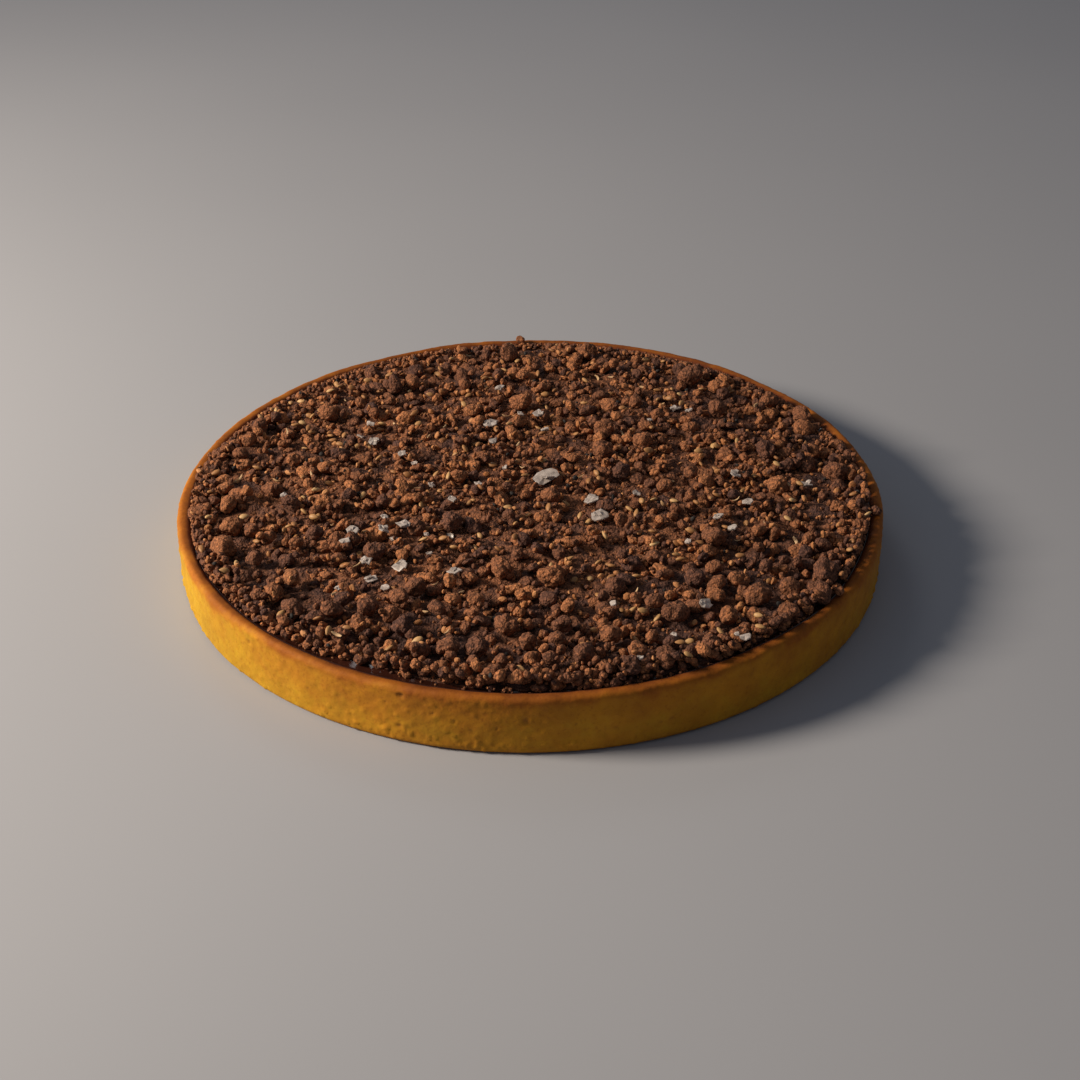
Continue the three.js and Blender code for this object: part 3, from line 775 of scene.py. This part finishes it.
def make_heap(heap, looks):
    """Everything on the filling, from the coarse lumps down to the finest grains."""
    rng = np.random.default_rng(404)
    crumb, fine_crumb, tan, pale, black, sesame, salt = looks

    # Coarse lumps, where the solids have them, and the crumbs on the rim
    lumps = coarse_lumps()
    heights = lump_height(*lumps.T)
    on_rim = np.array(RIM_CRUMBS)
    spots = np.column_stack([np.concatenate([lumps[:, :2], on_rim[:, :2]]),
                             np.concatenate([heights, WALL_HEIGHT + 0.36 * on_rim[:, 2]])])
    worn_away, largest = 0.87, 9.4
    radii = np.concatenate([np.minimum(lumps[:, 2] / worn_away, largest), on_rim[:, 2]]) / 2
    for (x, y, z), radius in zip(spots, radii):
        heap.fill(z, heap.rest(x, y, radius, 0.85 * radius, 0)[1])
    # Painted shade: the coarse lumps and rim crumbs, most of them at the front and the right, take only the
    # darker tints
    lay_by_size("crumble_coarse", spots, radii, (3.3, 4, 3), rng, crumb, tilt=0.2, tints=(0.05, 0.68),
                shape=dict(grains=26, grain_size=(0.26, 0.52), grit=0.05, worn=0.85, squash=(0.8, 1.0)))

    # Flattened clumps that lie matted in the fine crumb, fewer among the coarse lumps
    spots, radii = heap.strew(rng, 560, (3.6, 8.0), 1.6, between_lumps, rise=0.62, sink=0.55, steps=2)
    lay_by_size("crumble_clumps", spots, radii, (2.0, 3, 2), rng, crumb, tilt=0.25,
                shape=dict(grains=14, grain_size=(0.3, 0.55), grit=0.08, worn=0.4, squash=(0.5, 0.75)))

    # Middling lumps, thicker where the coarse ones are, and a row of them along the crust in front
    spots, radii = heap.strew(rng, 600, (2.6, 5.0), 1.6, beside_lumps, sink=0.4, steps=6, ceiling=24.2)
    lumpy = dict(grains=11, grain_size=(0.34, 0.62), grit=0.07, worn=0.75)
    lay_by_size("crumble_middling", spots, radii, (1.6, 3, 2), rng, crumb, tilt=0.5, tints=(0, 0.95),
                shape=lumpy)
    spots, radii = heap.strew(rng, 420, (2.0, 4.8), 1.1, in_front, sink=0.25, steps=2, ceiling=22.5,
                              inner=100, footing=0.5)
    lay_by_size("crumble_edge", spots, radii, (1.6, 3, 2), rng, crumb, tilt=0.5, tints=(0, 0.8), shape=lumpy)

    # Small lumps, more of them in the groove along the crust
    points, faces = ball(2)
    small_lumps = (("crumble_small", 1500, 0, 23.4), ("crumble_groove", 700, 102, 19.6))
    for name, count, inner, ceiling in small_lumps:
        spots, radii = heap.strew(rng, count, (1.5, 2.8), 1.4, between_lumps, sink=0.45, steps=3,
                                  ceiling=ceiling, inner=inner)
        forms = rough_balls(points, rng, len(spots), 6, (0.42, 0.72), 0.1)
        strewn(name, forms, faces, spots, radii, turns(rng, len(spots)), crumb, rng, (0, 0.85))

    # Sesame seeds
    spots, radii = heap.strew(rng, 250, (2.7, 3.4), 1, everywhere, rise=0.36, sink=0.2, steps=3)
    forms, faces = seed_form()
    forms = np.repeat(forms[None], len(spots), axis=0) * rng.uniform(0.9, 1.08, (len(spots), 1, 3))
    strewn("sesame_seeds", forms, faces, spots, radii, turns(rng, len(spots), 0.3), sesame, rng)

    # Tan nut bits, pale curled bits and black bits
    points, faces = ball(2)
    spots, radii = heap.strew(rng, 560, (1.3, 3.1), 1.8, everywhere, rise=0.6, sink=0.25, steps=3,
                              footing=0.5)
    forms = rough_balls(points, rng, len(spots), 3, (0.5, 0.7), 0.06, worn=1, squash=(0.45, 0.85))
    flat_sided(strewn("nut_bits", forms, faces, spots, radii, turns(rng, len(spots)), tan, rng))
    spots, radii = heap.strew(rng, 45, (2.2, 3.8), 1.5, everywhere, rise=0.3, sink=0.2, steps=2)
    forms, faces = curled_forms(rng, len(spots))
    strewn("pale_curls", forms, faces, spots, radii, turns(rng, len(spots), 0.4), pale, rng)
    points, faces = ball(2)
    spots, radii = heap.strew(rng, 170, (1.1, 2.3), 1.4, everywhere, rise=0.55, sink=0.25, steps=3,
                              footing=0.5)
    forms = rough_balls(points, rng, len(spots), 3, (0.5, 0.7), 0.06, worn=1, squash=(0.4, 0.8))
    strewn("black_bits", forms, faces, spots, radii, turns(rng, len(spots)), black, rng)

    # The finest loose grains, more of them in the groove too
    points, faces = ball(1)
    grains = (("crumble_grains", 4200, 0, 23.4), ("groove_grains", 900, 102, 19.2))
    for name, count, inner, ceiling in grains:
        spots, radii = heap.strew(rng, count, (0.7, 1.6), 1.4, between_lumps, sink=0.55, steps=4,
                                  ceiling=ceiling, inner=inner, footing=0.4)
        forms = points[None] * rng.uniform(0.6, 1.25, (len(spots), len(points), 1))
        flat_sided(strewn(name, forms, faces, spots, radii, turns(rng, len(spots)), fine_crumb, rng))

    # Flakes of salt, on top
    make_salt(heap, np.random.default_rng(77), salt)


def seed_form():
    """A sesame seed of half length 1: a flat drop, pointed at one end."""
    points, faces = ball(2)
    along = points[:, 0]
    width = 0.62 * (1 - 0.42 * smoothstep(-0.2, 1.15, along))
    thinner = 1 - 0.25 * np.maximum(0, along)
    form = np.stack([along * 1.02, points[:, 1] * width, points[:, 2] * 0.36 * thinner], 1)
    return form, faces


def curled_forms(rng, count):
    """Thin bent slivers of half length 1."""
    points, faces = ball(2)
    bend = rng.uniform(0.5, 1.5, (count, 1))
    along = points[None, :, 0]
    thick = rng.uniform(0.1, 0.17, (count, 1))
    lift = bend * (along ** 2 - 0.4) * 0.5
    twist = points[None, :, 1] * rng.uniform(0.22, 0.4, (count, 1))
    along = np.broadcast_to(along, lift.shape)
    return np.stack([along, twist + 0.25 * lift, points[None, :, 2] * thick + lift], 2), faces


def salt_plate(rng, reach):
    """Points and faces of a thin crooked plate with chipped edges, tilted a little."""
    corners = 9
    angle = rng.uniform(-0.25, 0.25, corners) + np.arange(corners) * TAU / corners
    rim = reach * rng.uniform(0.66, 1.14, corners)
    outline = np.stack([rim * np.cos(angle), 0.86 * rim * np.sin(angle)], 1)
    thick = rng.uniform(0.4, 0.65)
    dish = rng.uniform(-0.3, 0.3, corners)
    levels = ((-0.5, 0.94), (0.3, 1.0), (0.5, 0.86))
    rings = [np.column_stack([outline * scale, level * thick + dish]) for level, scale in levels]
    ends = [[0, 0, -0.5 * thick], [0, 0, 0.5 * thick]]
    form = np.concatenate(rings + [ends])
    here = np.arange(corners)
    after = (here + 1) % corners
    faces = []
    for low in range(0, (len(levels) - 1) * corners, corners):
        high = low + corners
        faces.append(np.stack([low + here, low + after, high + after], 1))
        faces.append(np.stack([low + here, high + after, high + here], 1))
    bottom, top, last = len(form) - 2, len(form) - 1, (len(levels) - 1) * corners
    faces.append(np.stack([np.full(corners, bottom), after, here], 1))
    faces.append(np.stack([np.full(corners, top), last + here, last + after], 1))
    spin = turns(rng, 1, rng.uniform(0.05, 0.2))[0]
    return form @ spin.T, np.concatenate(faces)


def make_salt(heap, rng, material):
    """Flakes of salt, the larger ones with a second and smaller plate on them."""
    points, faces, tints = [], [], []
    made, two_plates = 0, 3.4
    for x, y, length in SALT_FLAKES:
        half = length / 2
        middle, mark = heap.rest(x, y, 0.8 * half, 0.3, 0.4)
        for plate in range(2 if length > two_plates else 1):
            reach = half * (1.2 if plate == 0 else rng.uniform(0.55, 0.75))
            away = 0 if plate == 0 else half * rng.uniform(0.3, 0.7)
            heading = rng.uniform(0, TAU)
            form, sides = salt_plate(rng, reach)
            beside = (away * math.cos(heading), away * math.sin(heading))
            points.append(form + (x + beside[0], y + beside[1], middle + 0.3 + 0.35 * plate))
            faces.append(sides + made)
            tints.append(np.full(len(form), rng.random()))
            made += len(form)
        heap.fill(middle, mark)
    flakes = mesh_object("salt_flakes", np.concatenate(points), [np.concatenate(faces)], "crumble", "crumble",
                         material, tint=np.concatenate(tints))
    flat_sided(flakes)


# The surroundings

def make_stage():
    """A plain pale floor, a soft warm key light low on the left, and a weak cool fill."""
    bpy.ops.mesh.primitive_circle_add(vertices=96, radius=9, fill_type="NGON", location=(0, 0, -0.0002))
    floor = bpy.context.object
    floor.name = "floor"
    look = Shading("floor_pale", Roughness=0.8, Specular_IOR_Level=0.2)
    colour = look.ramp(look.noise(400, 2), (0.3, (0.34, 0.352, 0.385)), (0.7, (0.365, 0.377, 0.41)))
    floor.data.materials.append(look.finish(colour))

    def area_light(name, place, aim, size, power, colour):
        data = bpy.data.lights.new(name, "AREA")
        data.shape = "DISK"
        data.size = size
        data.energy = power
        data.color = colour
        lamp = bpy.data.objects.new(name, data)
        lamp.location = place
        lamp.rotation_euler = (Vector(aim) - Vector(place)).to_track_quat("-Z", "Y").to_euler()
        bpy.context.collection.objects.link(lamp)

    area_light("key", (-0.817, -0.085, 0.479), (0, 0, 0.01), 0.265, 13.9, (1.0, 0.86, 0.70))
    area_light("fill", (-0.42, 1.3, 1.0), (0, 0, 0), 0.5, 1.6, (1.0, 0.95, 0.92))
    world = bpy.data.worlds.new("room")
    world.use_nodes = True
    background = world.node_tree.nodes["Background"]
    background.inputs["Color"].default_value = (0.60, 0.64, 0.73, 1)
    background.inputs["Strength"].default_value = 0.22
    bpy.context.scene.world = world


def make_camera():
    """The photograph's view: 31 degrees above level, the tart a little up and left of the middle."""
    distance, elevation, roll = 553.1 * MM, math.radians(31.06), math.radians(-0.39)
    target = Vector((0, 0, 9 * MM))
    beside, below = 3.0 * MM, 8.4 * MM
    back = Vector((0, -math.cos(elevation), math.sin(elevation)))
    up = Vector((0, math.sin(elevation), math.cos(elevation)))
    place = target + back * distance
    aim = target + Vector((1, 0, 0)) * beside - up * below
    camera = bpy.data.objects.new("camera", bpy.data.cameras.new("camera"))
    camera.data.sensor_width = 36
    camera.data.lens = 57.88
    camera.data.clip_start = 0.01
    facing = (aim - place).to_track_quat("-Z", "Y").to_matrix().to_4x4()
    camera.matrix_world = Matrix.Translation(place) @ facing @ Matrix.Rotation(roll, 4, "Z")
    bpy.context.collection.objects.link(camera)
    bpy.context.scene.camera = camera


make_camera()
make_stage()
make_crust(crust_material())
make_filling(filling_material())

crumb_look = crumb_material("cocoa_crumb", (0.100, 0.049, 0.038), (0.290, 0.118, 0.055), (0.46, 0.190, 0.078))
# Painted shade: the bed, seen only in the gaps between the lumps, is coloured darker than the lumps
shaded_bed_look = crumb_material("cocoa_bed_shaded", (0.080, 0.040, 0.032), (0.220, 0.090, 0.044), (0.36, 0.148, 0.064))
grain_look = crumb_material("cocoa_grain", (0.100, 0.048, 0.036), (0.290, 0.120, 0.055), (0.44, 0.190, 0.080))
tan_look = bit_material("nut_tan", (0.32, 0.115, 0.035), (0.56, 0.27, 0.11))
pale_look = bit_material("pale_curl", (0.38, 0.22, 0.10), (0.60, 0.42, 0.24))
black_look = bit_material("burnt_black", (0.010, 0.009, 0.009), (0.035, 0.030, 0.028))
make_bed(shaded_bed_look)
make_heap(Heap(), (crumb_look, grain_look, tan_look, pale_look, black_look, seed_material(), salt_material()))

scene = bpy.context.scene
scene.view_settings.view_transform = "Standard"
scene.view_settings.look = "None"
